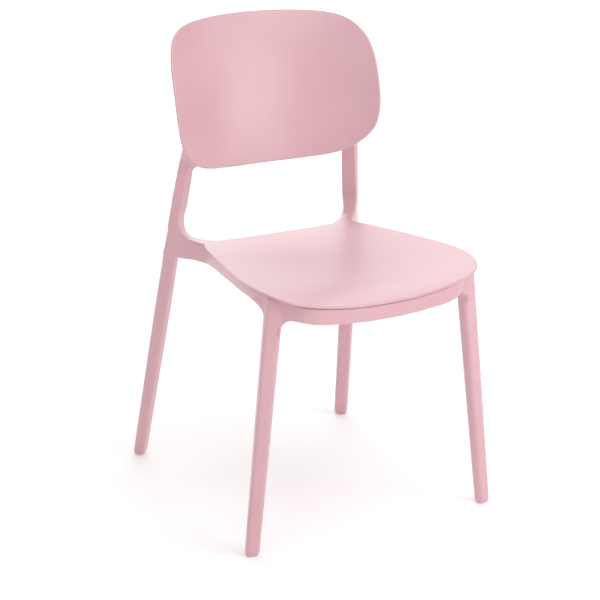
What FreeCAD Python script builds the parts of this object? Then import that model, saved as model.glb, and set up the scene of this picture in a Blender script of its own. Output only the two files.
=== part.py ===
import FreeCAD, Part
import math
import os

# Stacking chair in moulded polypropylene: seat pan, curved back panel and four splayed legs.
# Millimetres, +Z up, the sitter faces -Y, and X = 0 is the plane of symmetry.
# Until the last step Y = 0 is halfway between the front and rear feet.

V = FreeCAD.Vector
os.makedirs("parts", exist_ok=True)

# ---- driving dimensions ----
frontFootX = 228.0
frontFootY = -239.0
rearFootX = 215.0
rearFootY = 239.0
frontSplayX = 0.108          # outward lean of a front leg, mm per mm of height
frontSplayY = 0.029
rearSplayX = 0.075
rearSplayY = 0.204
legHeadZ = 446.0             # top of the front leg before the seat's underside trims it
legCorners = (5.0, 6.0, 9.5, 3.5)    # rounding outer rear, inner rear, inner front, outer front
shoulderZ = 574.0            # where the upright stops under the back panel

seatFrontY = -273.5
seatRearY = 110.5
seatRimZ = 452.0             # highest part of the side rim, near the front
seatRimFall = 13.0           # the rim is this much lower where it meets the upright
seatRimFallStartY = -162.0
seatRimFallLength = 236.0
seatFrontMidZ = 417.0        # middle of the front edge, which dips between the corners
seatRearMidZ = 432.5
seatDish = 6.0               # extra hollow halfway between front and rear
seatNoseLength = 95.0        # the front edge rolls down over this length
seatCrossPower = 2.2         # how late the pan rises towards its sides
seatCrossPowerRear = 1.8     # added to that power at the rear edge
seatThick = 4.0

backHalfWidth = 198.5
backBottomZ = 552.0
backTopZ = 812.0
backThick = 5.0
backBend = 285.0             # plan radius of the back panel
backPadX = 155.0             # fixing pads on the panel's rear face
backPadDepth = 6.0

ringInset = 3.0              # frame faces sit this far inside the seat's edge
ringWall = 17.0
shadowGap = 1.5              # between the seat's underside and the frame
ribThick = 2.2
ribDepth = 8.0
bossRadius = 6.0
lugThick = 5.0

glideHeight = 5.0
stemRadius = 4.5
stemLength = 16.0
screwRadius = 2.0
screwHeadRadius = 4.2
screwHeadHeight = 2.6
seatScrewLength = 18.0
screwTipCover = 2.2          # plastic left over the tip of a seat screw
plugWidth = 4.0
plugHeight = 13.0
plugDepth = 4.0
padThick = 2.5
under = 120.0                # depth of the working solid under the seat
loftDegree = 3
insetSteps = 72


# ---- helpers ----
def mirrored(shape):
    return shape.mirror(V(0, 0, 0), V(1, 0, 0))


def section(cx, cy, z, width, depth, turn=0.0):
    """Closed rounded rectangle in a level plane, turned about Z by turn degrees."""
    hw = width / 2.0
    hd = depth / 2.0
    corners = ((hw, hd, 0), (-hw, hd, 90), (-hw, -hd, 180), (hw, -hd, 270))
    ends = []
    for (x, y, start), corner in zip(corners, legCorners):
        r = min(corner, 0.45 * width, 0.45 * depth)
        ox = x - math.copysign(r, x)
        oy = y - math.copysign(r, y)
        arc = [V(ox + r * math.cos(math.radians(start + a)),
                 oy + r * math.sin(math.radians(start + a)), 0) for a in (0, 45, 90)]
        ends.append(arc)
    edges = []
    for i, arc in enumerate(ends):
        edges.append(Part.Arc(*arc).toShape())
        edges.append(Part.LineSegment(arc[2], ends[(i + 1) % 4][0]).toShape())
    wire = Part.Wire(edges)
    wire.rotate(V(0, 0, 0), V(0, 0, 1), turn)
    wire.translate(V(cx, cy, z))
    return wire


def loft(sections, ruled=False):
    return Part.makeLoft([section(*s) for s in sections], True, ruled, False, loftDegree)


def largest(shape):
    """The main solid, without slivers that a cut leaves."""
    return max(shape.Solids, key=lambda solid: solid.Volume)


def spline(points, closed=False):
    curve = Part.BSplineCurve()
    curve.interpolate([V(*p) for p in points], PeriodicFlag=closed)
    return curve.toShape()


def box(x0, x1, y0, y1, z0, z1):
    return Part.makeBox(x1 - x0, y1 - y0, z1 - z0, V(x0, y0, z0))


def screw(seatPoint, direction, length):
    """Pan-head screw: seatPoint lies under the head, direction runs to the tip."""
    d = V(*direction).normalize()
    p = V(*seatPoint)
    shank = Part.makeCylinder(screwRadius, length - screwRadius, p, d)
    tip = Part.makeCone(screwRadius, 0.6, screwRadius, p + d * (length - screwRadius), d)
    head = Part.makeCylinder(screwHeadRadius, screwHeadHeight, p - d * screwHeadHeight, d)
    head = head.makeFillet(0.8, [head.Edges[0]])
    recess = Part.makeCylinder(1.3, 1.6, p - d * screwHeadHeight, d)
    return shank.fuse([tip, head]).removeSplitter().cut(recess)


def heightField(height, x0, x1, y0, y1, nx, ny):
    """Smooth surface z = height(x, y) over a rectangle."""
    grid = []
    for i in range(nx):
        x = x0 + (x1 - x0) * i / (nx - 1)
        grid.append([V(x, y, height(x, y)) for y in
                     (y0 + (y1 - y0) * j / (ny - 1) for j in range(ny))])
    surface = Part.BSplineSurface()
    surface.interpolate(grid)
    return surface.toShape()


# ---- seat ----
seatHalf = ((0, seatFrontY), (90, seatFrontY), (140, -272), (160, -270.5), (178, -264), (190, -252),
            (199, -233), (204.5, -212), (207, -185), (205.5, -150), (200, -113), (189, -57),
            (175, 7), (158, 74), (150, 97), (140, 107.5), (120, seatRearY), (60, seatRearY),
            (0, seatRearY))
seatSide = seatHalf[8:14]    # the side edge, from the widest point back to the upright
uprightFlare = 0.39          # beyond it the rim line runs out along the upright, mm per mm


def halfWidthAt(y):
    """Half width across which the pan rises from its middle to its rim."""
    for (xa, ya), (xb, yb) in zip(seatSide, seatSide[1:]):
        if ya <= y <= yb:
            return xa + (xb - xa) * (y - ya) / (yb - ya)
    if y < seatSide[0][1]:
        return seatSide[0][0]
    return seatSide[-1][0] + uprightFlare * (y - seatSide[-1][1])


def rimZ(y):
    """Height of the seat's side rim."""
    back = max(0.0, y - seatRimFallStartY) / seatRimFallLength
    return seatRimZ - seatRimFall * back ** 1.15


def seatZ(x, y):
    """Top of the seat: dished across, level at the back, dipping at the front edge."""
    along = min(max((y - seatFrontY) / (seatRearY - seatFrontY), 0.0), 1.0)
    nose = max(0.0, 1.0 - (y - seatFrontY) / seatNoseLength)
    middle = seatRearMidZ - seatDish * math.sin(math.pi * along)
    middle -= (seatRearMidZ - seatFrontMidZ) * nose ** 2
    rise = (abs(x) / halfWidthAt(y)) ** (seatCrossPower + seatCrossPowerRear * along ** 3)
    return middle + (rimZ(y) - middle) * rise


def seatOutlineFace(inset=0.0):
    """Plan of the seat, or the same plan with its edge moved inwards."""
    right = [(x, y, 0) for x, y in seatHalf]
    left = [(-x, y, 0) for x, y in reversed(seatHalf[1:-1])]
    edge = spline(right + left, closed=True)
    if inset:
        first, last = edge.ParameterRange
        points = []
        for i in range(insetSteps):
            t = first + (last - first) * i / insetSteps
            along = edge.tangentAt(t)
            points.append(edge.valueAt(t) + V(-along.y, along.x, 0) * inset)
        edge = spline(points, closed=True)
    return Part.Face(Part.Wire([edge]))


def slabUnder(surface, top, depth):
    """Solid between the surface lowered by top and lowered by top + depth."""
    face = surface.copy()
    face.translate(V(0, 0, -top))
    return face.extrude(V(0, 0, -depth))


seatSurface = heightField(seatZ, -230, 230, -300, 140, 25, 25)


def standing(face, z0, height):
    """Upright prism on a level face."""
    prism = face.copy()
    prism.translate(V(0, 0, z0))
    return prism.extrude(V(0, 0, height))


seatPlan = standing(seatOutlineFace(), 300, 300)
seatPan = slabUnder(seatSurface, 0, seatThick).common(seatPlan)

# ---- frame ring under the seat ----
belowSeat = slabUnder(seatSurface, seatThick + shadowGap, under)
insideRing = standing(seatOutlineFace(ringInset + ringWall), 300, 300)
ring = standing(seatOutlineFace(ringInset), 300, 300).cut(insideRing).common(belowSeat)


def below(points, across):
    """Solid under a curve: across=True draws it in the front view, otherwise in the side view."""
    def place(u, z):
        return V(u, -400, z) if across else V(-400, u, z)
    curve = spline([place(u, z) for u, z in points])
    floor = 300.0
    corners = [place(*points[-1]), place(points[-1][0], floor), place(points[0][0], floor),
               place(*points[0])]
    sides = [Part.LineSegment(a, b).toShape() for a, b in zip(corners, corners[1:])]
    push = V(0, 800, 0) if across else V(800, 0, 0)
    return Part.Face(Part.Wire([curve] + sides)).extrude(push)


railLower = ((-225, 395), (-219, 415), (-207, 426), (-185, 430.5), (-106, 428), (-28, 421.5),
             (26, 417), (69, 408), (95, 399), (125, 388))
apronHalf = ((0, 382.5), (55, 384.5), (100, 389.5), (139, 396), (160, 401.5), (169, 402), (175, 394),
             (178, 378))
apronLower = [(-x, z) for x, z in reversed(apronHalf[1:])] + list(apronHalf)
legBackY = -226.0            # the ring is shared out between apron and side rails here
railEndY = 78.0

apron = ring.common(box(-177.9, 177.9, -300, legBackY, 300, 470)).cut(below(apronLower, True))
sideRail = ring.common(box(120, 230, -224.9, railEndY, 300, 470)).cut(below(railLower, False))
rearRail = box(-146, 146, 84, 102, 406, 440).common(belowSeat)


# ---- legs ----
def frontLegAt(z, width, depth):
    return (frontFootX - frontSplayX * z, frontFootY + frontSplayY * z, z, width, depth)


def rearLegAt(z, width, depth):
    return (rearFootX - rearSplayX * z, rearFootY - rearSplayY * z, z, width, depth)


frontLeg = loft([frontLegAt(glideHeight, 23, 21), frontLegAt(legHeadZ, 28.5, 25)], ruled=True)
frontLeg = frontLeg.common(belowSeat.fuse(box(100, 300, -300, -100, 0, 380)))
rearLeg = loft([rearLegAt(glideHeight, 23, 21), rearLegAt(160, 25, 23), rearLegAt(315, 27, 26),
                (184, 161.5, 400, 29, 29, -12), (176.6, 151, 472, 28, 28, -26),
                (171, 145, 515, 25.5, 27, -30), (165.5, 138.5, 557, 24, 25.5, -32),
                (163, 136, shoulderZ, 23.5, 25, -32)])


# ---- back panel ----
def backMidY(z):
    """Middle of the back panel's front face: upright at the loins, leaning back at the top."""
    t = (z - backBottomZ) / (backTopZ - backBottomZ)
    return 149.0 + 26.0 * t + 45.0 * max(t, 0.0) ** 2.4


def backY(x, z):
    return backMidY(z) - (backBend - math.sqrt(backBend ** 2 - x ** 2))


def behindBack(x, z, gap):
    """Point at a distance behind the panel's rear face, along its level normal."""
    slope = x / math.sqrt(backBend ** 2 - x ** 2)
    size = math.hypot(1.0, slope)
    d = backThick + gap
    return (x + d * slope / size, backY(x, z) + d / size, z)


backHalf = ((0, backTopZ), (62, 811.3), (105, 809.5), (139, 806.5), (157.5, 802), (171, 795),
            (182, 784), (190, 769.5), (195, 753), (197.5, 733), (198.4, 711), (backHalfWidth, 686),
            (197.5, 656), (194, 631), (188, 611), (180, 598), (170, 586.5), (158, 577), (143, 568),
            (122, 561), (90, 556), (50, 553), (0, backBottomZ))


def backOutlineFace():
    right = [(x, -100, z) for x, z in backHalf]
    left = [(-x, -100, z) for x, z in reversed(backHalf[1:-1])]
    return Part.Face(Part.Wire([spline(right + left, closed=True)]))


def backSurfaceFace():
    columns = 25
    rows = 21
    grid = []
    for i in range(columns):
        x = -215.0 + 430.0 * i / (columns - 1)
        heights = [530.0 + 300.0 * j / (rows - 1) for j in range(rows)]
        grid.append([V(x, backY(x, z), z) for z in heights])
    surface = Part.BSplineSurface()
    surface.interpolate(grid)
    return surface.toShape()


backFace = backSurfaceFace()
backPanel = backFace.extrude(V(0, backThick, 0))
backPanel = backPanel.common(backOutlineFace().extrude(V(0, 500, 0)))
backFace.translate(V(0, backThick - 0.01, 0))
fixingSlab = backFace.extrude(V(0, backPadDepth, 0))
for side in (-1, 1):
    x = side * backPadX
    backPanel = backPanel.fuse(fixingSlab.common(box(x - 10, x + 10, 0, 400, 596, 684)))

# The upright's tongue climbs behind the panel and is screwed to those pads.
tongueSections = []
for z, width, depth in ((shoulderZ - 14, 17, 14), (604, 17, 12), (645, 16, 11), (690, 13, 8)):
    back = 9.0 * max(0.0, (604 - z) / 44.0)
    x, y, z = behindBack(backPadX, z, backPadDepth + depth / 2.0 + back)
    tongueSections.append((x, y, z, width, depth, -33.0))
tongue = loft(tongueSections).cut(fixingSlab).cut(backPanel)
rearLeg = rearLeg.fuse(tongue)

# ---- web that carries the seat's rear corner and the side rail out to the rear leg ----
webPlan = ((150, 70), (152, 89), (154, 98), (163, 113), (176, 127), (188, 139), (186, 158),
           (172, 152), (158, 146), (152, 136), (131, 121), (118, 110.5), (118, 100), (134, 70))
webFace = Part.Face(Part.makePolygon([V(x, y, 0) for x, y in webPlan + webPlan[:1]]))
web = standing(webFace, 380, 90)
web = web.common(below(((60, 434), (95, 432.5), (118, 437), (130, 443), (141, 454), (150, 470)), False))
web = web.cut(below(((60, 411), (80, 405.5), (104, 398), (128, 391), (150, 386), (165, 372)), False))
web = web.cut(seatPlan.cut(belowSeat)).cut(rearLeg)
tenonRear = box(150, 178, 126, 146, 404, 420).common(rearLeg)
sideRail = sideRail.fuse(web)
rearRail = rearRail.cut(sideRail).cut(mirrored(sideRail))

# ---- tenons of the frame, cut into the legs ----
tenonApron = box(172, 186, -256, -228, 404, 420)
tenonRail = box(186, 194, -224, -204, 424, 438)
apronTenons = tenonApron.fuse(mirrored(tenonApron))
frontLeg = frontLeg.cut(tenonApron).cut(tenonRail)
rearLeg = rearLeg.cut(tenonRear)
apron = apron.cut(frontLeg).cut(mirrored(frontLeg)).fuse(apronTenons)
sideRail = sideRail.cut(frontLeg).cut(apron).fuse([tenonRail, tenonRear])

# ---- lugs on the frame and bosses under the seat, one pair for each seat screw ----
lugs = {
    "rail": ((174, -150, 431), (150, -10, 420)),
    "apron": ((60, -243, 396), (-60, -243, 396)),
    "rear": ((60, 76, 410), (-60, 76, 410)),
}


def lug(x, y, z, reachX, reachY):
    block = box(min(x - 8, x + reachX), max(x + 8, x + reachX), min(y - 8, y + reachY),
                max(y + 8, y + reachY), z, z + lugThick)
    return block


for x, y, z in lugs["rail"]:
    sideRail = sideRail.fuse(lug(x, y, z, 15, 0))
for x, y, z in lugs["apron"]:
    apron = apron.fuse(lug(x, y, z, 0, -13))
for x, y, z in lugs["rear"]:
    rearRail = rearRail.fuse(lug(x, y, z, 0, 12))

seatScrewSpots = [spot for group in ("apron", "rear") for spot in lugs[group]]
for x, y, z in lugs["rail"]:
    seatScrewSpots += [(x, y, z), (-x, y, z)]

seatUnderside = slabUnder(seatSurface, seatThick - 0.01, under)
ribSpace = slabUnder(seatSurface, seatThick - 0.01, ribDepth)
ribs = [box(x, x + ribThick, -236, 66, 380, 470) for x in (-96, -46, 44, 94)]
ribs += [box(-140, 140, y, y + ribThick, 380, 470) for y in (-176, -96, -16)]
ribBlock = ribs[0].fuse(ribs[1:]).common(ribSpace)
bosses = [Part.makeCylinder(bossRadius, 60, V(x, y, z + lugThick)) for x, y, z in seatScrewSpots]
seat = seatPan.fuse([ribBlock] + [b.common(seatUnderside) for b in bosses])

# ---- fasteners ----
def seatScrew(x, y, z):
    """Screw up through a lug, its tip kept below the seat's top face."""
    length = min(seatScrewLength, seatZ(x, y) - z - screwTipCover)
    return screw((x, y, z), (0, 0, 1), length)


seatScrews = [seatScrew(*spot) for spot in seatScrewSpots]

backScrewsRight = []
for z in (618, 662):
    x, y, z = behindBack(backPadX, z, backPadDepth + 9.5)
    tilt = math.asin(backPadX / backBend)
    backScrewsRight.append(screw((x, y, z), (-math.sin(tilt), -math.cos(tilt), 0), 15))
backScrews = backScrewsRight + [mirrored(s) for s in backScrewsRight]

frameScrewsRight = [
    screw((179, -216.5, 412), (0, -1, 0), 21),        # front leg to apron
    screw((170.5, -218.5, 431), (1, 0, 0), 20),       # front leg to side rail
    screw((150, 128, 412), (0.78, 0.62, 0), 32),      # side rail to rear leg
    screw((134, 93, 403), (0, 0, 1), 18),             # side rail to rear rail
]
frameScrews = frameScrewsRight + [mirrored(s) for s in frameScrewsRight]


def drilled(shape, screws):
    """Cut the screws out, with a clear way for the head to be driven in."""
    return shape.cut(Part.makeCompound(screws))


# ---- small fittings ----
def glide(footX, footY, splayX, splayY):
    top = (footX - splayX * glideHeight, footY + splayY * glideHeight, glideHeight, 22.6, 20.6)
    pad = loft([(footX, footY, 0, 19, 17), (footX, footY, 1.5, 21.5, 19.5), top], ruled=True)
    stem = Part.makeCylinder(stemRadius, stemLength, V(footX, footY, glideHeight))
    return pad.fuse(stem).removeSplitter()


frontGlide = glide(frontFootX, frontFootY, frontSplayX, frontSplayY)
rearGlide = glide(rearFootX, rearFootY, rearSplayX, -rearSplayY)
frontLeg = frontLeg.cut(frontGlide)
rearLeg = rearLeg.cut(rearGlide)


def legPlug(z):
    """Oval plug in the front face of a front leg, close to its inner edge."""
    x, y, z, width, depth = frontLegAt(z, 27.7, 24.4)
    frontY = y - depth / 2.0
    edge = Part.Ellipse(V(0, 0, 0), plugHeight / 2.0, plugWidth / 2.0).toShape()
    face = Part.Face(Part.Wire([edge]))
    face.rotate(V(0, 0, 0), V(0, 1, 0), 90)
    face.rotate(V(0, 0, 0), V(0, 0, 1), 90)
    face.translate(V(x - width / 2.0 + 6.0, frontY, z))
    return face.extrude(V(0, plugDepth, 0))


plug = legPlug(384.0).common(frontLeg)
frontLeg = frontLeg.cut(plug)

padBand = standing(seatOutlineFace(ringInset + 3), 300, 300)
padBand = padBand.cut(standing(seatOutlineFace(ringInset + ringWall - 3), 300, 300))
railLowerPad = [(y, z - padThick) for y, z in railLower]
padLayer = padBand.common(below(railLower, False)).cut(below(railLowerPad, False))
stackingPads = {
    "front": padLayer.common(box(120, 230, -140, -110, 300, 470)),
    "rear": padLayer.common(box(120, 230, -20, 10, 300, 470)),
}

# ---- drilling, naming, placing and writing ----
nodes = {
    "seat_shell": largest(drilled(seat, seatScrews)),
    "back_shell": largest(drilled(backPanel, backScrews)),
    "front_apron": largest(drilled(apron, seatScrews + frameScrews)),
    "rear_rail": largest(drilled(rearRail, seatScrews + frameScrews)),
    "seat_screws": Part.makeCompound(seatScrews),
    "back_screws": Part.makeCompound(backScrews),
    "frame_screws": Part.makeCompound(frameScrews),
}
handed = {
    "side_rail": largest(drilled(sideRail, seatScrews + frameScrews)),
    "front_leg": largest(drilled(frontLeg, frameScrews)),
    "rear_leg": largest(drilled(rearLeg, backScrews + frameScrews)),
    "front_glide": frontGlide,
    "rear_glide": rearGlide,
    "leg_plug": plug,
    "front_stacking_pad": stackingPads["front"],
    "rear_stacking_pad": stackingPads["rear"],
}
for name, shape in handed.items():
    nodes[name + "_left"] = shape
    nodes[name + "_right"] = mirrored(shape)

spans = [shape.optimalBoundingBox() for shape in nodes.values()]
middleY = (min(b.YMin for b in spans) + max(b.YMax for b in spans)) / 2.0
for name, shape in sorted(nodes.items()):
    shape.translate(V(0, -middleY, 0))
    shape.exportStep("parts/" + name + ".step")
    b = shape.optimalBoundingBox()
    print(name, "solids", len(shape.Solids), "valid", shape.isValid(), "volume", round(shape.Volume),
          "z", round(b.ZMin, 1), round(b.ZMax, 1), "y", round(b.YMin, 1), round(b.YMax, 1),
          "x", round(b.XMin, 1), round(b.XMax, 1))
print("shift in Y", round(-middleY, 3))
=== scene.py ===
import math

import bmesh
import bpy
import numpy as np
from mathutils import Matrix, Vector


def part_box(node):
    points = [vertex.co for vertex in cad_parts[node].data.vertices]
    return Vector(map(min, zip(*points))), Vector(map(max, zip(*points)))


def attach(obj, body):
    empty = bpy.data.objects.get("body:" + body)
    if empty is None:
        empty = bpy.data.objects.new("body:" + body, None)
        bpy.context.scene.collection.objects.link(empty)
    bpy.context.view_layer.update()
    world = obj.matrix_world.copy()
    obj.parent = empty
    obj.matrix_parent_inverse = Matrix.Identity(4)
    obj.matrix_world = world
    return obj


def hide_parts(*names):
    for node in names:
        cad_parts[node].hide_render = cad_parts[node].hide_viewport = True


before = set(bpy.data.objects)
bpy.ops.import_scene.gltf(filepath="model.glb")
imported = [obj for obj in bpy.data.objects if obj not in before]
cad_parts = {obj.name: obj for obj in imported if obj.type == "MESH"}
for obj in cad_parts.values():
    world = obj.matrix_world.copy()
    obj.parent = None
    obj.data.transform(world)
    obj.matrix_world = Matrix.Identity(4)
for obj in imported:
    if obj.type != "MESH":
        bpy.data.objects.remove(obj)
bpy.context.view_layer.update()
scene = bpy.context.scene
scene.view_settings.view_transform = "Standard"
mm = 0.001
print("frame loaded:", len(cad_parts), "CAD nodes")


def boxMm(node):
    low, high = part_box(node)
    return low / mm, high / mm


# Sizes below are millimetres. Y is counted from halfway between the front and rear feet.
frontGlide = boxMm("front_glide_left")
rearGlide = boxMm("rear_glide_left")
feetMidY = (frontGlide[0].y + frontGlide[1].y + rearGlide[0].y + rearGlide[1].y) / 4
frontFoot = (frontGlide[0] + frontGlide[1]) / 2
rearFoot = (rearGlide[0] + rearGlide[1]) / 2
glideTop = boxMm("front_leg_left")[0].z
halfFeet = (rearFoot.y - frontFoot.y) / 2
seatLow, seatHigh = boxMm("seat_shell")
backLow, backHigh = boxMm("back_shell")
seatFrontY = seatLow.y - feetMidY
seatRearY = seatHigh.y - feetMidY


def alongCurve(points, count):
    # count + 1 evenly spaced points on a smooth curve through the given ones
    p = np.array(points, float)
    gaps = np.linalg.norm(np.diff(p[:, :3], axis=0), axis=1)[:, None]
    slopes = np.diff(p, axis=0) / gaps
    inner = (slopes[:-1] * gaps[1:] + slopes[1:] * gaps[:-1]) / (gaps[:-1] + gaps[1:])
    tangents = np.vstack([slopes[:1], inner, slopes[-1:]])
    t = np.linspace(0, 1, 24, endpoint=False)[:, None]
    dense = [
        (2 * t**3 - 3 * t**2 + 1) * a + (t**3 - 2 * t**2 + t) * g * ta
        + (3 * t**2 - 2 * t**3) * b + (t**3 - t**2) * g * tb
        for a, b, g, ta, tb in zip(p, p[1:], gaps, tangents, tangents[1:])
    ]
    dense = np.vstack(dense + [p[-1:]])
    run = np.concatenate([[0], np.cumsum(np.linalg.norm(np.diff(dense[:, :3], axis=0), axis=1))])
    at = np.linspace(0, run[-1], count + 1)
    return np.column_stack([np.interp(at, run, column) for column in dense.T])


def mirrored(points):
    return [(-x, y, z) for x, y, z in points]


def quarterTurn(count, start=0.0):
    return np.linspace(start, math.pi / 2, count)


def roundedRing(corners, radii, steps=4):
    # the corners of a closed outline, each one rounded off
    ring = []
    count = len(corners)
    for i, (corner, r) in enumerate(zip(corners, radii)):
        corner = Vector(corner)
        before, after = Vector(corners[i - 1]) - corner, Vector(corners[(i + 1) % count]) - corner
        reach = min(r, 0.48 * before.length, 0.48 * after.length)
        start, end = corner + before.normalized() * reach, corner + after.normalized() * reach
        for k in range(steps + 1):
            t = k / steps
            ring.append(start * (1 - t) ** 2 + corner * 2 * t * (1 - t) + end * t**2)
    return ring


def addTube(bm, rings):
    # closed body through rings that all have the same number of points
    rows = [[bm.verts.new(Vector(p)) for p in ring] for ring in rings]
    for a, b in zip(rows, rows[1:]):
        for i in range(len(a)):
            j = (i + 1) % len(a)
            bm.faces.new((a[i], a[j], b[j], b[i]))
    bm.faces.new(list(reversed(rows[0])))
    bm.faces.new(rows[-1])


def addBoth(bm, rings):
    # a body and its mirror image on the other side of the chair
    addTube(bm, rings)
    addTube(bm, [mirrored(ring) for ring in rings])


def blendRings(keyRings, steps):
    # more rings between the key ones, on smooth curves through matching points
    tracks = [alongCurve([ring[i] for ring in keyRings], steps) for i in range(len(keyRings[0]))]
    return [[track[k] for track in tracks] for k in range(steps + 1)]


def makePiece(name, bm, material, replaced):
    # millimetres from halfway between the feet become metres in the row's frame
    bmesh.ops.recalc_face_normals(bm, faces=bm.faces)
    for v in bm.verts:
        v.co = Vector((v.co.x, v.co.y + feetMidY, v.co.z)) * mm
    mesh = bpy.data.meshes.new(name)
    bm.to_mesh(mesh)
    bm.free()
    for face in mesh.polygons:
        face.use_smooth = True
    piece = bpy.data.objects.new(name, mesh)
    scene.collection.objects.link(piece)
    mesh.materials.append(material)
    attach(piece, "root")
    if replaced:
        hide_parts(*replaced)
    return piece


def applyModifiers(piece):
    depsgraph = bpy.context.evaluated_depsgraph_get()
    made = bpy.data.meshes.new_from_object(piece.evaluated_get(depsgraph))
    piece.modifiers.clear()
    piece.data = made
    for face in made.polygons:
        face.use_smooth = True


def linearColour(hexValue):
    # sRGB hex to the linear values that nodes take
    parts = [int(hexValue[i:i + 2], 16) / 255 for i in (1, 3, 5)]
    return tuple(c / 12.92 if c <= 0.04045 else ((c + 0.055) / 1.055) ** 2.4 for c in parts) + (1.0,)


def addNode(tree, kind, inputs=None, **settings):
    # inputs: socket name or number -> value, or another node's output to link
    node = tree.nodes.new(kind)
    for key, value in settings.items():
        setattr(node, key, value)
    for key, value in (inputs or {}).items():
        if isinstance(value, bpy.types.NodeSocket):
            tree.links.new(value, node.inputs[key])
        else:
            node.inputs[key].default_value = value
    return node


def newMaterial(name):
    material = bpy.data.materials.new(name)
    material.use_nodes = True
    material.node_tree.nodes.clear()
    return material, material.node_tree


polypropylene = {
    # body colour, lighter where the melt ran thin, deeper where it ran thick
    "frame": ("#D2A1AA", "#D4A4AD", "#D09EA7"),
    "shell": ("#D0A3AB", "#D2A6AE", "#CEA0A8"),    # seat and back: a paler copy of the frame colour, painted sheen for the pale reflection on their broad faces
    "roughness": (0.36, 0.44),
    "ior": 1.55,
    "skin": 0.8,               # the resin-rich outer skin gives a second, clear reflection
    "skinRoughness": 0.4,
    "bloom": {"frame": 0.15, "shell": 0.22},       # pale bloom at shallow angles, from the fine grain
    "grainMm": 1.1,            # the real spark grain is about 0.15 mm: drawn coarser so that it shows
    "grainDepthMm": 0.035,
    "bloomRoughness": 0.35,
    "speckle": 0.015,          # the grain goes this much darker and lighter
    "flowMm": 90.0,            # slow changes of tint along the flow of the melt
    "wavinessMm": 26.0,        # shrinkage leaves large faces very slightly uneven
    "wavinessDepthMm": 0.12,
}


def mouldedPolypropylene(name, colourSet="frame", tint=1.0, polish=0.0):
    # injection-moulded polypropylene: a soft satin sheen over fine grain, with a tint and a gloss that
    # drift slowly, so that large faces don't look painted
    v = polypropylene
    material, tree = newMaterial(name)
    place = addNode(tree, "ShaderNodeTexCoord").outputs["Object"]
    flow = addNode(tree, "ShaderNodeTexNoise", {"Vector": place, "Scale": 1000 / v["flowMm"],
                                               "Detail": 3.0, "Roughness": 0.45})
    grain = addNode(tree, "ShaderNodeTexNoise", {"Vector": place, "Scale": 1000 / v["grainMm"],
                                                "Detail": 2.0, "Roughness": 0.6})
    waves = addNode(tree, "ShaderNodeTexNoise", {"Vector": place, "Scale": 1000 / v["wavinessMm"],
                                                "Detail": 1.0, "Roughness": 0.4})
    # the shell set is a paler copy of the frame set: painted sheen on seat and back
    tone = addNode(tree, "ShaderNodeValToRGB", {"Fac": flow.outputs["Fac"]})
    tone.color_ramp.elements[0].position = 0.3
    tone.color_ramp.elements[0].color = linearColour(v[colourSet][2])
    tone.color_ramp.elements[1].position = 0.7
    tone.color_ramp.elements[1].color = linearColour(v[colourSet][1])
    tone.color_ramp.elements.new(0.5).color = linearColour(v[colourSet][0])
    speckle = addNode(tree, "ShaderNodeMapRange", {"Value": grain.outputs["Fac"], "From Min": 0.3,
                                                  "From Max": 0.7,
                                                  "To Min": (1 - v["speckle"]) * tint,
                                                  "To Max": (1 + v["speckle"]) * tint})
    colour = addNode(tree, "ShaderNodeVectorMath", {0: tone.outputs["Color"],
                                                   "Scale": speckle.outputs["Result"]},
                     operation="SCALE")
    gloss = addNode(tree, "ShaderNodeMapRange", {"Value": flow.outputs["Fac"], "From Min": 0.3,
                                                "From Max": 0.7,
                                                "To Min": v["roughness"][0] - polish,
                                                "To Max": v["roughness"][1] - polish})
    wavy = addNode(tree, "ShaderNodeBump", {"Height": waves.outputs["Fac"], "Strength": 1.0,
                                           "Distance": v["wavinessDepthMm"] * mm})
    grainy = addNode(tree, "ShaderNodeBump", {"Height": grain.outputs["Fac"], "Strength": 1.0,
                                             "Distance": v["grainDepthMm"] * mm,
                                             "Normal": wavy.outputs["Normal"]})
    shader = addNode(tree, "ShaderNodeBsdfPrincipled", {
        "Base Color": colour.outputs["Vector"], "Roughness": gloss.outputs["Result"],
        "IOR": v["ior"], "Coat Weight": v["skin"], "Coat Roughness": v["skinRoughness"] - polish,
        "Sheen Weight": v["bloom"][colourSet], "Sheen Roughness": v["bloomRoughness"],
        "Normal": grainy.outputs["Normal"], "Coat Normal": wavy.outputs["Normal"]})
    addNode(tree, "ShaderNodeOutputMaterial", {"Surface": shader.outputs["BSDF"]})
    return material


zincSteel = {
    "body": "#B9BCC0",
    "worn": "#9DA1A6",
    "roughness": (0.28, 0.42),
    "cloudMm": 6.0,
    "ringScale": 100.0,        # turned rings about 3 mm apart
    "ringDepthMm": 0.02,
}


def zincPlatedSteel(name):
    # zinc-plated screw steel: cool grey metal with faint turned rings under cloudy plating
    v = zincSteel
    material, tree = newMaterial(name)
    place = addNode(tree, "ShaderNodeTexCoord").outputs["Object"]
    cloud = addNode(tree, "ShaderNodeTexNoise", {"Vector": place, "Scale": 1000 / v["cloudMm"],
                                                "Detail": 4.0})
    rings = addNode(tree, "ShaderNodeTexWave", {"Vector": place, "Scale": v["ringScale"],
                                               "Distortion": 1.5}, wave_type="RINGS")
    tone = addNode(tree, "ShaderNodeMix", {0: cloud.outputs["Fac"], 6: linearColour(v["body"]),
                                          7: linearColour(v["worn"])}, data_type="RGBA")
    gloss = addNode(tree, "ShaderNodeMapRange", {"Value": cloud.outputs["Fac"],
                                                "To Min": v["roughness"][0],
                                                "To Max": v["roughness"][1]})
    turned = addNode(tree, "ShaderNodeBump", {"Height": rings.outputs["Fac"], "Strength": 0.4,
                                             "Distance": v["ringDepthMm"] * mm})
    shader = addNode(tree, "ShaderNodeBsdfPrincipled", {
        "Base Color": tone.outputs[2], "Roughness": gloss.outputs["Result"], "Metallic": 1.0,
        "Normal": turned.outputs["Normal"]})
    addNode(tree, "ShaderNodeOutputMaterial", {"Surface": shader.outputs["BSDF"]})
    return material


# seat and back take the paler shell colours, a painted sheen over the same polypropylene as the frame
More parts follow.
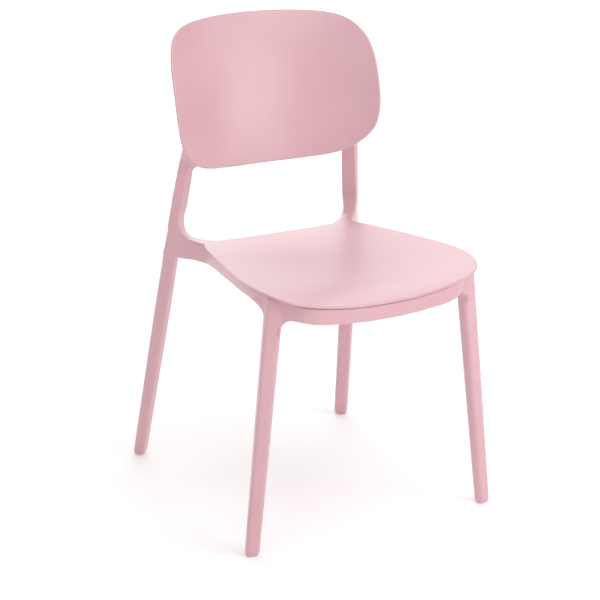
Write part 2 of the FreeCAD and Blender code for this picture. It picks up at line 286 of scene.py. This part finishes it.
seatPlastic = mouldedPolypropylene("polypropyleneSatinSeat", "shell")
backPlastic = mouldedPolypropylene("polypropyleneSatinBack", "shell")
framePlastic = mouldedPolypropylene("polypropyleneSatinFrame")
glidePlastic = mouldedPolypropylene("polypropyleneWornGlide", tint=0.98, polish=-0.08)
fittingPlastic = mouldedPolypropylene("polypropyleneSmoothFitting", tint=0.97, polish=0.06)
screwSteel = zincPlatedSteel("zincPlatedScrewSteel")
print("materials made")


# Seat: one thin skin, dished in the middle, that sweeps up the front of both uprights.
seat = {
    "front": [(0, -273.5), (90, -273.5), (140, -272.2), (160, -270), (176, -264.5), (190, -252)],
    "side": [(190, -252), (199, -234), (204.5, -213), (207, -185), (205.5, -150), (200, -113),
             (189, -57), (175, 7), (158, 74), (151.5, 89)],
    "frontMidZ": 417.0,
    "rearMidZ": 432.5,
    "dish": 6.0,
    "noseLength": 95.0,        # the front edge rolls down over this length
    "rimZ": 452.0,
    "rimFall": 13.0,           # the side rim is about this much lower where it meets the upright
    "fallFrom": -162.0,        # the rim is level in front of this Y
    "fallOver": 236.0,
    "fallPower": 1.15,
    "flare": 0.39,             # slope of the side line behind the narrowest place
    "crown": (2.2, 1.8),       # power of the rise to the rim at the front, and what the rear adds
    "thick": 4.0,
    "lip": 1.9,                # rounding of the edge
    "columns": 36,
    "earColumns": 6,           # across the strip that climbs each upright
    "rows": 42,
    "earRows": 34,
}
# outer crease and inner edge of the skin from the seat's rear corner to the top of the upright
earStations = [
    ((151.5, 89, 438), (113, 110.5, 432.7)),
    ((160.5, 111.8, 438), (131.5, 120.8, 434.3)),
    ((166.6, 119.6, 440.3), (144.3, 130, 436.2)),
    ((174, 126.6, 448), (153.5, 137.5, 439.5)),
    ((179, 132.5, 461), (159, 144.5, 448)),
    ((180.3, 134.2, 474), (160.3, 150.3, 462)),
    ((176.4, 130.3, 505), (155.6, 145, 496)),
    ((171.4, 125.3, 543), (151.2, 139.2, 536)),
    ((165.8, 119.8, 572), (147.5, 134.6, 570)),
]
sideLine = alongCurve([(x, y, 0) for x, y in seat["side"]], 60)
widestY = seat["side"][3][1]


def halfWidthAt(y):
    if y < widestY:
        return seat["side"][3][0]
    if y > seat["side"][-1][1]:
        return seat["side"][-1][0] + seat["flare"] * (y - seat["side"][-1][1])
    return float(np.interp(y, sideLine[:, 1], sideLine[:, 0]))


def seatZ(x, y):
    # height of the seat's top face
    along = min(max((y - seatFrontY) / (seatRearY - seatFrontY), 0), 1)
    nose = max(0, 1 - (y - seatFrontY) / seat["noseLength"])
    middle = seat["rearMidZ"] - seat["dish"] * math.sin(math.pi * along)
    middle -= (seat["rearMidZ"] - seat["frontMidZ"]) * nose**2
    fall = max(0, y - seat["fallFrom"]) / seat["fallOver"]
    rim = seat["rimZ"] - seat["rimFall"] * fall ** seat["fallPower"]
    u = min(abs(x) / halfWidthAt(y), 1.05)
    power, rearPower = seat["crown"]
    return middle + (rim - middle) * u ** (power + rearPower * along**3)


def seatGrid():
    # rows from front to rear of plan points, blended from the four edges
    half = alongCurve([(x, y, 0) for x, y in seat["front"]], seat["columns"] // 2 + seat["earColumns"])
    front = np.vstack([half[::-1] * (-1, 1, 1), half[1:]])
    right = alongCurve([(x, y, 0) for x, y in seat["side"]], seat["rows"])
    left = right * (-1, 1, 1)
    (nx, ny, _), (px, py, _) = earStations[0]
    ear = np.linspace((px, py, 0), (nx, ny, 0), seat["earColumns"] + 1)
    straight = np.linspace((-px, py, 0), (px, py, 0), seat["columns"] + 1)
    rear = np.vstack([ear[::-1][:-1] * (-1, 1, 1), straight, ear[1:]])
    across = np.linspace(0, 1, len(front))[:, None]
    grid = []
    for k in range(seat["rows"] + 1):
        t = k / seat["rows"]
        sides = left[k] * (1 - across) + right[k] * across
        ends = front * (1 - t) + rear * t
        corners = (front[0] * (1 - t) + rear[0] * t) * (1 - across) \
            + (front[-1] * (1 - t) + rear[-1] * t) * across
        row = sides + ends - corners
        grid.append([Vector((x, y, seatZ(x, y))) for x, y, _ in row])
    return grid


def earRows():
    # points across the skin between crease and inner edge, from the seat corner upwards
    keys = [np.linspace(np.array(i, float), np.array(o, float), seat["earColumns"] + 1)
            for o, i in earStations]
    tracks = [alongCurve([key[c] for key in keys], seat["earRows"])
              for c in range(seat["earColumns"] + 1)]
    return [[Vector(track[k]) for track in tracks] for k in range(seat["earRows"] + 1)]


def seatUndersideZ(x, y, gap=0.0):
    return seatZ(x, y) - seat["thick"] - gap


def buildSeat():
    bm = bmesh.new()
    grid = [[bm.verts.new(p) for p in row] for row in seatGrid()]
    for a, b in zip(grid, grid[1:]):
        for i in range(len(a) - 1):
            bm.faces.new((a[i], a[i + 1], b[i + 1], b[i]))
    last = grid[-1]
    n = seat["earColumns"]
    rows = earRows()
    for side in (1, -1):
        below = last[-n - 1:] if side > 0 else list(reversed(last[:n + 1]))
        for row in rows[1:]:
            above = [bm.verts.new(Vector((side * p.x, p.y, p.z))) for p in row]
            for i in range(n):
                quad = (below[i], below[i + 1], above[i + 1], above[i])
                bm.faces.new(quad if side > 0 else tuple(reversed(quad)))
            below = above
    piece = makePiece("seatSkin", bm, seatPlastic, ["seat_shell"])
    upward = sum(f.normal.z * f.area for f in piece.data.polygons)
    thicken = piece.modifiers.new("thickness", "SOLIDIFY")
    thicken.thickness = seat["thick"] * mm
    thicken.offset = -1 if upward > 0 else 1
    thicken.use_even_offset = True
    edge = piece.modifiers.new("lip", "BEVEL")
    edge.width = seat["lip"] * mm
    edge.segments = 3
    edge.limit_method = "ANGLE"
    edge.angle_limit = math.radians(50)
    fine = piece.modifiers.new("fine", "SUBSURF")
    fine.levels = 1
    fine.render_levels = 1
    applyModifiers(piece)
    return piece


seatSkin = buildSeat()
print("seat skin:", len(seatSkin.data.polygons), "faces")


# Stiffening under the seat, moulded with it, and the bosses that the screws bite into.
seatRibs = {
    "thick": 2.2,
    "depth": 8.0,
    "edge": 0.8,               # rounding of the lower edges
    "embed": 1.5,              # ribs and bosses run this far into the skin
    "lengthwiseX": (-96, -46, 46, 96),
    "lengthwiseY": (-236, 70),
    "crosswiseY": (-176, -96, -16),
    "halfWidth": 142,
    "stations": 41,
    "bossRadius": 5.3,
}
# Lugs of the frame that the bosses stand on.
lugs = {
    # x, y, z of the underside and reach to the wall in x and y
    "spots": [(60, -243, 396, 0, -14), (60, 76, 410, 0, 17),
              (174, -150, 431, 16, 0), (150, -10, 420, 16, 0)],
    "thick": 5.0,
    "half": 8.0,
    "corner": 3.0,
}


def buildSeatRibs():
    v = seatRibs
    bm = bmesh.new()

    def rib(start, end):
        rings = []
        for t in np.linspace(0, 1, v["stations"]):
            x, y = np.array(start) + (np.array(end) - start) * t
            half = v["thick"] / 2
            dx, dy = (half, 0) if start[0] == end[0] else (0, half)
            low = seatUndersideZ(x, y, v["depth"])
            high = seatUndersideZ(x, y, -v["embed"])
            corners = [(x + dx, y + dy, low), (x + dx, y + dy, high),
                       (x - dx, y - dy, high), (x - dx, y - dy, low)]
            rings.append(roundedRing(corners, (v["edge"], 0.1, 0.1, v["edge"]), 3))
        addTube(bm, rings)

    for x in v["lengthwiseX"]:
        rib((x, v["lengthwiseY"][0]), (x, v["lengthwiseY"][1]))
    for y in v["crosswiseY"]:
        rib((-v["halfWidth"], y), (v["halfWidth"], y))
    for x, y, z, *_ in lugs["spots"]:
        seatedZ = z + lugs["thick"]
        top = seatUndersideZ(x, y, -v["embed"])
        # height and growth of the radius: a broken lower edge, then a flare into the skin
        levels = ((seatedZ, 0), (seatedZ + 0.8, 0.7), (top - 6, 1.0), (top - 2, 1.6), (top, 4.0))
        addBoth(bm, [[(x + (v["bossRadius"] + grow) * math.cos(a),
                       y + (v["bossRadius"] + grow) * math.sin(a), level)
                      for a in np.linspace(0, 2 * math.pi, 28, endpoint=False)]
                     for level, grow in levels])
    return makePiece("seatRibs", bm, seatPlastic, [])


buildSeatRibs()
print("seat ribs and bosses made")


# Back: a panel bent round the sitter's back, fully rounded rim, fixing pads behind.
back = {
    "outline": [(0, 812), (62, 811.3), (105, 809.5), (139, 806.5), (157.5, 802), (171, 795), (182, 784),
                (190, 769.5), (195, 753), (197.5, 733), (198.4, 711), (198.5, 686), (197.5, 656),
                (194, 631), (188, 611), (180, 598), (170, 586.5), (158, 577), (143, 568), (122, 561),
                (90, 556), (50, 553), (0, 552)],
    "loinsY": 149.0,           # front face at the middle of the lower edge
    "lean": 26.0,              # even slope backwards over the height
    "roll": 45.0,              # more of it towards the top
    "rollPower": 2.4,
    "bend": 285.0,             # radius of the level bend
    "thick": 5.0,
    "rim": 2.4,                # rounding of the rim
    "padX": 155.0,             # fixing pads on the rear
    "padDepth": 6.0,
    "padHalf": 10.0,
    "padZ": (596.0, 684.0),
    "padCorner": 6.0,
    "around": 220,             # points round the outline
    "rings": 26,
    "rimSteps": 5,
}
backBottomZ, backTopZ = backLow.z, backHigh.z


def backY(x, z):
    t = (z - backBottomZ) / (backTopZ - backBottomZ)
    middle = back["loinsY"] + back["lean"] * t + back["roll"] * max(t, 0) ** back["rollPower"]
    return middle - (back["bend"] - math.sqrt(back["bend"] ** 2 - x * x))


def behindBack(x, z, gap):
    # a point at a distance behind the panel's rear face, along its level normal
    slope = x / math.sqrt(back["bend"] ** 2 - x * x)
    size = math.hypot(1, slope)
    d = back["thick"] + gap
    return Vector((x + d * slope / size, backY(x, z) + d / size, z))


def panelPoint(x, z, depth):
    # a point at a depth behind the front face, square to it
    step = 0.5
    dx = (backY(x + step, z) - backY(x - step, z)) / (2 * step)
    dz = (backY(x, z + step) - backY(x, z - step)) / (2 * step)
    normal = Vector((-dx, 1, -dz)).normalized()
    return Vector((x, backY(x, z), z)) + normal * depth


def buildBack():
    v = back
    half = [(x, z, 0) for x, z in v["outline"]]
    right = alongCurve(half, v["around"] // 2)
    outline = np.vstack([right, right[1:-1][::-1] * (-1, 1, 1)])[:, :2]
    ahead = np.roll(outline, -1, axis=0) - np.roll(outline, 1, axis=0)
    inward = np.column_stack([ahead[:, 1], -ahead[:, 0]])
    inward /= np.linalg.norm(inward, axis=1)[:, None]
    centre = np.array((0, (backBottomZ + backTopZ) / 2))
    if ((centre - outline) * inward).sum() < 0:
        inward = -inward
    r = v["rim"]
    # inset and depth round the rim, from the front face to the rear one
    edge = [(r * (1 - math.cos(a)), r * (1 - math.sin(a))) for a in quarterTurn(v["rimSteps"])[::-1]]
    edge += [(r * (1 - math.cos(a)), v["thick"] - r + r * math.sin(a)) for a in quarterTurn(v["rimSteps"])]
    shrink = [math.sin(a) for a in quarterTurn(v["rings"], 0.04)]
    inner = outline + inward * r
    rings = [[panelPoint(*(centre + (p - centre) * s), 0) for p in inner] for s in shrink[:-1]]
    rings += [[panelPoint(*(p + n * inset), depth) for p, n in zip(outline, inward)]
              for inset, depth in edge]
    rings += [[panelPoint(*(centre + (p - centre) * s), v["thick"]) for p in inner]
              for s in reversed(shrink[:-1])]
    bm = bmesh.new()
    addTube(bm, rings)
    pad = []
    z0, z1 = v["padZ"]
    # depth and growth: a small fillet at the foot, a broken edge at the top
    for depth, grow in ((-1.0, 3.0), (0.0, 2.2), (1.2, 0.7), (v["padDepth"] - 0.8, 0.0),
                        (v["padDepth"] - 0.1, -0.8)):
        h = v["padHalf"] + grow
        ring = roundedRing([(v["padX"] + h, z0 - grow, 0), (v["padX"] + h, z1 + grow, 0),
                            (v["padX"] - h, z1 + grow, 0), (v["padX"] - h, z0 - grow, 0)],
                           [v["padCorner"]] * 4, 5)
        pad.append([panelPoint(p.x, p.y, v["thick"] + depth) for p in ring])
    addBoth(bm, pad)
    return makePiece("backPanel", bm, backPlastic, ["back_shell"])


buildBack()
print("back panel made")


# Frame: legs, rails, apron and uprights, melted into one moulding. The corners of every section and
# their roundings go outer rear, inner rear, inner front, outer front.
legs = {
    "front": {
        "foot": (frontFoot.x, -halfFeet),
        "splay": (-0.108, 0.029),
        # height, width, depth, and shift of the section off the leg's axis
        "sections": [(5, 24.5, 18.1, 0.4, 0.2), (446, 29.8, 22.3, 0.6, 0.5)],
        "turn": 16.0,          # the front faces look slightly outwards
        "corners": (6, 6, 8, 4),
    },
    "rear": {
        "foot": (rearFoot.x, halfFeet),
        "splay": (-0.075, -0.204),
        "sections": [(5, 25.2, 21.2, 0.2, -0.6), (160, 26.6, 22.9, 0, -0.4), (315, 27.4, 24.4, -0.5, 0.2),
                     (390, 25.0, 24.7, -0.7, 0.8), (411, 24.6, 24.7, -0.7, 0.8)],
        "turn": -39.0,         # the outer faces lie in the plane of the corner webs
        "corners": (7, 8, 8, 4),
    },
}
upright = {
    "corners": (6, 8, 3.5, 3),
    "sink": 0.9,               # the seat's skin covers the front face by this much
    # outer rear and inner rear corners that go with ear stations 2 to 8
    "rear": [((196.5, 153.5, 441), (171.5, 168.5, 438)), ((195.6, 152, 449), (171.3, 167.5, 443)),
             ((195, 150.5, 461), (171, 166.5, 451)), ((193.6, 148, 475), (170.3, 165, 464)),
             ((190.4, 143.2, 506), (166.5, 160.5, 498)), ((185.6, 136.2, 543), (161.5, 155.5, 537)),
             ((182, 131.2, 572), (158.5, 150.5, 560))],
    "footZ": 420.0,
    "footChamfer": (3.0, 2.0),     # height and width
    "rearReach": 0.205,        # the rear runs out along the web like the leg below it
    # it swells forward under the back panel to meet the panel's rear face
    "bracket": [
        [(183, 132.5, 560), (159, 152, 548), (149.5, 137.5, 545), (168, 122.5, 560)],
        [(181.8, 131, 572), (158, 150.5, 560), (148.3, 135.6, 558), (166, 120.3, 572)],
        [(178, 127, 592), (156, 148, 582), (146, 117.5, 569.5), (176, 99.5, 590)],
        [(174, 125, 608), (153, 143, 608), (145, 120, 606), (166, 106, 606)],
    ],
    "bracketCorners": (5, 6, 3, 3),
    # z, width and depth of the tongue that climbs behind the back panel
    "tongue": [(596, 17, 12), (645, 16, 11), (690, 13, 8)],
    "tongueTurn": -33.0,
    "tongueCorners": (4, 4, 3, 3),
}
web = {
    "archZ": 402.5,            # level underside
    "lean": 1.5,               # the foot of the outer face stands out by this much
    "leanOver": 36.0,
    "embed": 1.0,              # its top stays this far inside the skin
    "innerRise": 2.0,
    "corners": (3.0, 3.0, 3.5, 3.0),
    # ends and corner of the curve that eases the rail round into the web
    "fillet": [(160.5, 60, 408.5), (151.2, 89, 403), (166, 118, 402.5)],
    "filletTop": 431.0,
    "filletThick": 10.0,
}
rails = {
    "shadowGap": 1.6,          # dark line under the seat's front edge
    "sideGap": -0.8,           # the side rails run up into the seat's lip
    # x, y, z of the lower edge and thickness, from inside the front leg
    "apron": [(186, -231, 372, 4), (181, -233.5, 384, 8), (175, -238.7, 391, 12), (169.5, -244, 399.3, 15),
              (161, -252, 402, 17), (152, -260.5, 400.3, 17), (132, -267.8, 396, 17),
              (84, -269.9, 389.8, 17), (40, -270.5, 386.8, 17), (0, -270.6, 386, 17)],
    "side": [(191, -233, 372, 4), (195.3, -226, 392, 8), (198.7, -218, 412, 13), (201.7, -209, 421, 17),
             (204.5, -197, 426, 17), (205.5, -185, 428.4, 17), (204.4, -150, 430.2, 17),
             (199.4, -113, 429.2, 17), (188.8, -57, 425.2, 17), (174.8, 7, 418.6, 17),
             (157.6, 69, 407, 17), (151.8, 88, 403, 17), (153, 97, 402.5, 17)],
    "edge": 2.6,
    "innerRise": 1.5,          # the inner wall ends this much higher
    "rearHalf": 140,           # the rear rail: half its length, its two faces and its underside
    "rearY": (89.0, 109.3),
    "rearZ": 403.2,
}
moulding = {
    "voxel": 2.2,              # a finer one keeps sharper edges and takes longer
    "quickVoxel": 4.0,
    "soften": 0.5,
    "softenTurns": 8,
}


def legRing(cx, cy, z, width, depth, turn, corners):
    a = math.radians(turn)
    ring = roundedRing([(width / 2, depth / 2, 0), (-width / 2, depth / 2, 0),
                        (-width / 2, -depth / 2, 0), (width / 2, -depth / 2, 0)], corners)
    return [Vector((cx + p.x * math.cos(a) - p.y * math.sin(a),
                    cy + p.x * math.sin(a) + p.y * math.cos(a), z)) for p in ring]


def legAt(which, z, shrink=0.0):
    # the leg's section at a height
    v = legs[which]
    rows = np.array(v["sections"])
    width, depth, dx, dy = (np.interp(z, rows[:, 0], column) for column in rows[:, 1:].T)
    x = v["foot"][0] + v["splay"][0] * z + dx
    y = v["foot"][1] + v["splay"][1] * z + dy
    return legRing(x, y, z, width - shrink, depth - shrink, v["turn"], v["corners"])


def frontLegRings():
    rings = [legAt("front", z) for z in np.linspace(glideTop, legs["front"]["sections"][-1][0], 24)]
    for p in rings[-1]:        # the head follows the seat's underside
        p.z = seatUndersideZ(p.x, p.y, rails["shadowGap"])
    return rings


def uprightRings():
    # from the arch of the corner web to the shoulder, the front face just under the skin
    keys = []
    for k, (outerRear, innerRear) in enumerate(upright["rear"]):
        outer, inner = (Vector(p) for p in earStations[k + 2])
        above = earStations[min(k + 3, len(earStations) - 1)][0]
        upward = Vector(above) - Vector(earStations[k + 1][0])
        behind = (outer - inner).cross(upward).normalized()
        if behind.y - behind.z < 0:        # away from the sitter
            behind = -behind
        sink = behind * upright["sink"]
        keys.append([Vector(outerRear), Vector(innerRear), inner + sink, outer + sink])
    foot = keys[0]
    along = ((foot[0] - foot[3]) * Vector((1, 1, 0))).normalized()
    rise, inward = upright["footChamfer"]
    for z, inset in ((upright["footZ"], 0.0), (web["archZ"] + rise, 0.0), (web["archZ"], inward)):
        lean = web["lean"] * (foot[3].z - z) / web["leanOver"]
        ring = [Vector((p.x, p.y, z)) for p in foot]
        reach = along * upright["rearReach"] * (foot[0].z - z)
        ring[0] += reach - Vector((inset, 0, 0))
        ring[1] += reach
        ring[2] += Vector((inset, 0, 0))
        ring[3] += Vector((lean - inset, inset - lean, 0))
        keys.insert(0, ring)
    return keys


def wallRings(path, gap):
    # the top of the wall follows the seat's underside
    rows = alongCurve(path, 9 * len(path))
    rings = []
    for k, (x, y, low, thick) in enumerate(rows):
        ahead = rows[min(k + 1, len(rows) - 1)] - rows[max(k - 1, 0)]
        side = Vector((-ahead[1], ahead[0], 0)).normalized()
        ix, iy = x + side.x * thick, y + side.y * thick
        corners = [(x, y, low), (x, y, seatUndersideZ(x, y, gap)),
                   (ix, iy, seatUndersideZ(ix, iy, gap)), (ix, iy, low + rails["innerRise"])]
        rings.append(roundedRing(corners, (rails["edge"], 1.0, 1.0, rails["edge"])))
    return rings


def rearRailRings():
    y0, y1 = rails["rearY"]
    low = rails["rearZ"]
    return [roundedRing([(x, y1, low), (x, y1, seatUndersideZ(x, y1, rails["sideGap"])),
                         (x, y0, seatUndersideZ(x, y0, rails["shadowGap"])), (x, y0, low)], (3, 1, 1, 3))
            for x in np.linspace(-rails["rearHalf"], rails["rearHalf"], 41)]


def webRings():
    # solid under the skin from the rail's end to the foot of the upright, a level arch below
    low = web["archZ"]
    rings = []
    for (ox, oy, oz), (ix, iy, iz) in earStations[:4]:
        corners = [(ox, oy, oz - web["embed"]), (ix, iy, iz - web["embed"]),
                   (ix, iy, low + web["innerRise"]), (ox + web["lean"], oy - web["lean"], low)]
        rings.append(roundedRing(corners, web["corners"]))
    return blendRings(rings, 30)


def cornerFillet():
    # eases the rail round into the corner web; it dies away under the skin's crease
    before, corner, after = (Vector(p) for p in web["fillet"])
    inward = Vector((-web["filletThick"], 0, 0))
    hidden = Vector((-0.6, 0, 0))      # the upper end goes just under the web's face
    rings = []
    for t in np.linspace(0, 1, 10):
        ring = []
        for u in np.linspace(0, 1, 15):
            eased = before * (1 - u) ** 2 + corner * 2 * u * (1 - u) + after * u**2
            sharp = before.lerp(corner, 2 * u) if u < 0.5 else corner.lerp(after, 2 * u - 1)
            p = eased.lerp(sharp + hidden, t**2)
            ring.append(Vector((p.x, p.y, p.z + (web["filletTop"] - p.z) * t)))
        rings.append(ring + [ring[-1] + inward, ring[0] + inward])
    return rings


def lugRings(x, y, z, reachX, reachY):
    half = lugs["half"]
    x0, x1 = min(x - half, x + reachX), max(x + half, x + reachX)
    y0, y1 = min(y - half, y + reachY), max(y + half, y + reachY)
    return [roundedRing([(x0, y0, level), (x1, y0, level), (x1, y1, level), (x0, y1, level)],
                        [lugs["corner"]] * 4) for level in (z, z + lugs["thick"])]


def tongueRings():
    rings = []
    for z, width, depth in upright["tongue"]:
        p = behindBack(back["padX"], z, back["padDepth"] + depth / 2)
        rings.append(legRing(p.x, p.y, p.z, width, depth, upright["tongueTurn"], upright["tongueCorners"]))
    return blendRings(rings, 40)


def buildFrame():
    bm = bmesh.new()
    addBoth(bm, frontLegRings())
    addBoth(bm, blendRings([legAt("rear", row[0]) for row in legs["rear"]["sections"]], 60))
    addBoth(bm, blendRings([roundedRing(corners, upright["corners"]) for corners in uprightRings()], 70))
    addBoth(bm, [roundedRing(corners, upright["bracketCorners"]) for corners in upright["bracket"]])
    half = rails["apron"]
    addTube(bm, wallRings([(-x, y, z, t) for x, y, z, t in half] + half[-2::-1], rails["shadowGap"]))
    addBoth(bm, wallRings(rails["side"], rails["sideGap"]))
    addBoth(bm, webRings())
    addBoth(bm, cornerFillet())
    addTube(bm, rearRailRings())
    for spot in lugs["spots"]:
        addBoth(bm, lugRings(*spot))
    addBoth(bm, tongueRings())
    # all of it melts into one skin, whose inner corners come out as small fillets
    bmesh.ops.recalc_face_normals(bm, faces=bm.faces)
    members = ("front_leg", "rear_leg", "side_rail", "front_apron", "rear_rail")
    piece = makePiece("mouldedFrame", bm, framePlastic,
                      [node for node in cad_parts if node.startswith(members)])
    melt = piece.modifiers.new("melt", "REMESH")
    melt.mode = "VOXEL"
    melt.voxel_size = moulding["voxel"] * mm
    soften = piece.modifiers.new("soften", "SMOOTH")
    soften.factor = moulding["soften"]
    soften.iterations = moulding["softenTurns"]
    applyModifiers(piece)
    return piece


mouldedFrame = buildFrame()
print("frame melted together:", len(mouldedFrame.data.polygons), "faces")


# Glides under the feet: a shade narrower than the leg, edges worn round.
glides = {
    # height and how much narrower than the leg
    "profile": [(0, 9.0), (0.4, 7.0), (1.2, 5.2), (2.4, 3.6), (3.9, 2.4), (4.6, 2.0), (7.0, 1.8)],
}


def buildGlides():
    for name in ("front", "rear"):
        for side, word in ((1, "left"), (-1, "right")):
            bm = bmesh.new()
            addTube(bm, [[(side * p.x, p.y, z) for p in legAt(name, z, shrink)]
                         for z, shrink in glides["profile"]])
            makePiece(f"{name}Glide_{word}", bm, glidePlastic, [f"{name}_glide_{word}"])


# Oval plug near the top of each front leg: a low dome inside a fine groove.
plug = {
    "z": 384.0,
    "tilt": -16.0,             # it looks straight ahead, on the leg's inner front corner
    "halfWidth": 2.3,
    "halfHeight": 6.8,
    # growth of the outline and height over the leg, from the outside inwards
    "rings": [(0.9, -3.0), (0.9, -0.1), (0.6, 0.35), (0.25, 0.25), (0.0, -0.4), (-0.4, -0.4),
              (-0.6, 0.2), (-0.9, 0.45), (-1.6, 0.55)],
    "around": 40,
}


def buildPlugs():
    v = plug
    a = math.radians(legs["front"]["turn"] + v["tilt"])
    across, outward = Vector((math.cos(a), math.sin(a), 0)), Vector((math.sin(a), -math.cos(a), 0))
    upward = Vector((*legs["front"]["splay"], 1)).normalized()
    centre = max(legAt("front", v["z"]), key=outward.dot)
    for side, word in ((1, "left"), (-1, "right")):
        rings = []
        for grow, height in v["rings"]:
            ring = []
            for t in np.linspace(0, 2 * math.pi, v["around"], endpoint=False):
                p = centre + outward * height
                p += across * (v["halfWidth"] + grow) * math.cos(t)
                p += upward * (v["halfHeight"] + grow) * math.sin(t)
                ring.append((side * p.x, p.y, p.z))
            rings.append(ring)
        bm = bmesh.new()
        addTube(bm, rings)
        makePiece(f"legPlug_{word}", bm, fittingPlastic, [f"leg_plug_{word}"])


buildPlugs()
buildGlides()
# screws and stacking pads keep their CAD shapes
fittings = {screwSteel: ["seat_screws", "back_screws", "frame_screws"],
            fittingPlastic: [f"{place}_stacking_pad_{word}" for place in ("front", "rear")
                             for word in ("left", "right")]}
for material, nodes in fittings.items():
    for node in nodes:
        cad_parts[node].data.materials.clear()
        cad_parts[node].data.materials.append(material)
print("glides and fittings made")


studio = {
    "floor": "#F6F5F5",
    "glow": (0.12, 0.6),               # painted glow: the white sweep gives off light of its own, more towards its far end
    "glowFrom": (1.2, 4.5),            # metres from the chair
    "flat": (-16.0, 3.5),              # the floor is level from the first Y to the second
    "curve": 1.5,                      # radius of the bend up into the backdrop
    "height": 6.0,
    "halfWidth": 14.0,
    "sky": 0.4,
    "aim": (0, 0, 0.45),               # the softboxes face this point
    # name: place and size in metres, power in watts
    "softboxes": {
        "topSoftbox": ((0.2, -1.0, 3.0), (3.0, 2.4), 40.0),
        "highBackSoftbox": ((0.9, 1.55, 2.4), (1.6, 1.2), 15.0),
        "rightFrontSoftbox": ((1.5, -2.4, 1.2), (2.5, 1.8), 31.0),
        "leftFrontSoftbox": ((-2.7, -1.7, 1.5), (1.8, 2.0), 9.0),
        "backdropSoftbox": ((0.3, 4.2, 2.4), (5.0, 2.6), 6.0),
    },
}


def buildStudio():
    material, tree = newMaterial("glowingStudioFloor")
    place = addNode(tree, "ShaderNodeTexCoord").outputs["Object"]
    faint = addNode(tree, "ShaderNodeTexNoise", {"Vector": place, "Scale": 6.0, "Detail": 2.0})
    gloss = addNode(tree, "ShaderNodeMapRange", {"Value": faint.outputs["Fac"], "To Min": 0.75,
                                                "To Max": 0.9})
    away = addNode(tree, "ShaderNodeVectorMath", {0: place}, operation="LENGTH")
    # painted glow: the floor emits light, weak near the chair and strong far off
    glow = addNode(tree, "ShaderNodeMapRange", {"Value": away.outputs["Value"],
                                               "From Min": studio["glowFrom"][0],
                                               "From Max": studio["glowFrom"][1],
                                               "To Min": studio["glow"][0],
                                               "To Max": studio["glow"][1]})
    shader = addNode(tree, "ShaderNodeBsdfPrincipled", {"Base Color": linearColour(studio["floor"]),
                                                       "Roughness": gloss.outputs["Result"],
                                                       "Emission Color": (1, 1, 1, 1),
                                                       "Emission Strength": glow.outputs["Result"]})
    addNode(tree, "ShaderNodeOutputMaterial", {"Surface": shader.outputs["BSDF"]})
    # floor that curves up into a backdrop
    bm = bmesh.new()
    near, far = studio["flat"]
    r = studio["curve"]
    profile = [(near, 0), (far, 0)]
    profile += [(far + r * math.sin(a), r - r * math.cos(a)) for a in quarterTurn(14, 0.1)]
    profile.append((far + r, studio["height"]))
    wide = studio["halfWidth"]
    rows = [[bm.verts.new((x, y, z)) for x in (-wide, wide)] for y, z in profile]
    for a, b in zip(rows, rows[1:]):
        bm.faces.new((a[0], a[1], b[1], b[0]))
    mesh = bpy.data.meshes.new("studioFloor")
    bm.to_mesh(mesh)
    bm.free()
    for face in mesh.polygons:
        face.use_smooth = True
    floor = bpy.data.objects.new("studioFloor", mesh)
    scene.collection.objects.link(floor)
    mesh.materials.append(material)
    world = bpy.data.worlds.new("whiteRoom")
    scene.world = world
    world.use_nodes = True
    sky = world.node_tree.nodes["Background"]
    sky.inputs["Color"].default_value = (1, 1, 1, 1)
    sky.inputs["Strength"].default_value = studio["sky"]
    for name, (place, size, power) in studio["softboxes"].items():
        lamp = bpy.data.lights.new(name, "AREA")
        lamp.shape = "RECTANGLE"
        lamp.size, lamp.size_y = size
        lamp.energy = power
        holder = bpy.data.objects.new(name, lamp)
        scene.collection.objects.link(holder)
        holder.location = place
        towards = Vector(studio["aim"]) - Vector(place)
        holder.rotation_euler = towards.to_track_quat("-Z", "Y").to_euler()


buildStudio()

# Angles in degrees, the rest in millimetres; azimuth 0 is straight in front of the chair.
camera = {
    "azimuth": -28.89,
    "elevation": 18.78,
    "roll": 0.502,
    "distance": 3446.5,
    "target": (-9.44, 12.58, 339.63),
    "lens": 118.16,
    "sensor": 36.0,
}


def buildCamera():
    v = camera
    a, e, r = (math.radians(v[k]) for k in ("azimuth", "elevation", "roll"))
    backward = Vector((math.sin(a) * math.cos(e), -math.cos(a) * math.cos(e), math.sin(e)))
    right = Vector((math.cos(a), math.sin(a), 0))
    up = backward.cross(right)
    data = bpy.data.cameras.new("studioCamera")
    data.lens = v["lens"]
    data.sensor_width = v["sensor"]
    data.clip_end = 50
    holder = bpy.data.objects.new("studioCamera", data)
    scene.collection.objects.link(holder)
    across = right * math.cos(r) + up * math.sin(r)
    upward = up * math.cos(r) - right * math.sin(r)
    holder.matrix_world = Matrix((across, upward, backward)).transposed().to_4x4()
    holder.location = (Vector(v["target"]) + backward * v["distance"]) * mm
    scene.camera = holder


buildCamera()
print("studio and camera made")
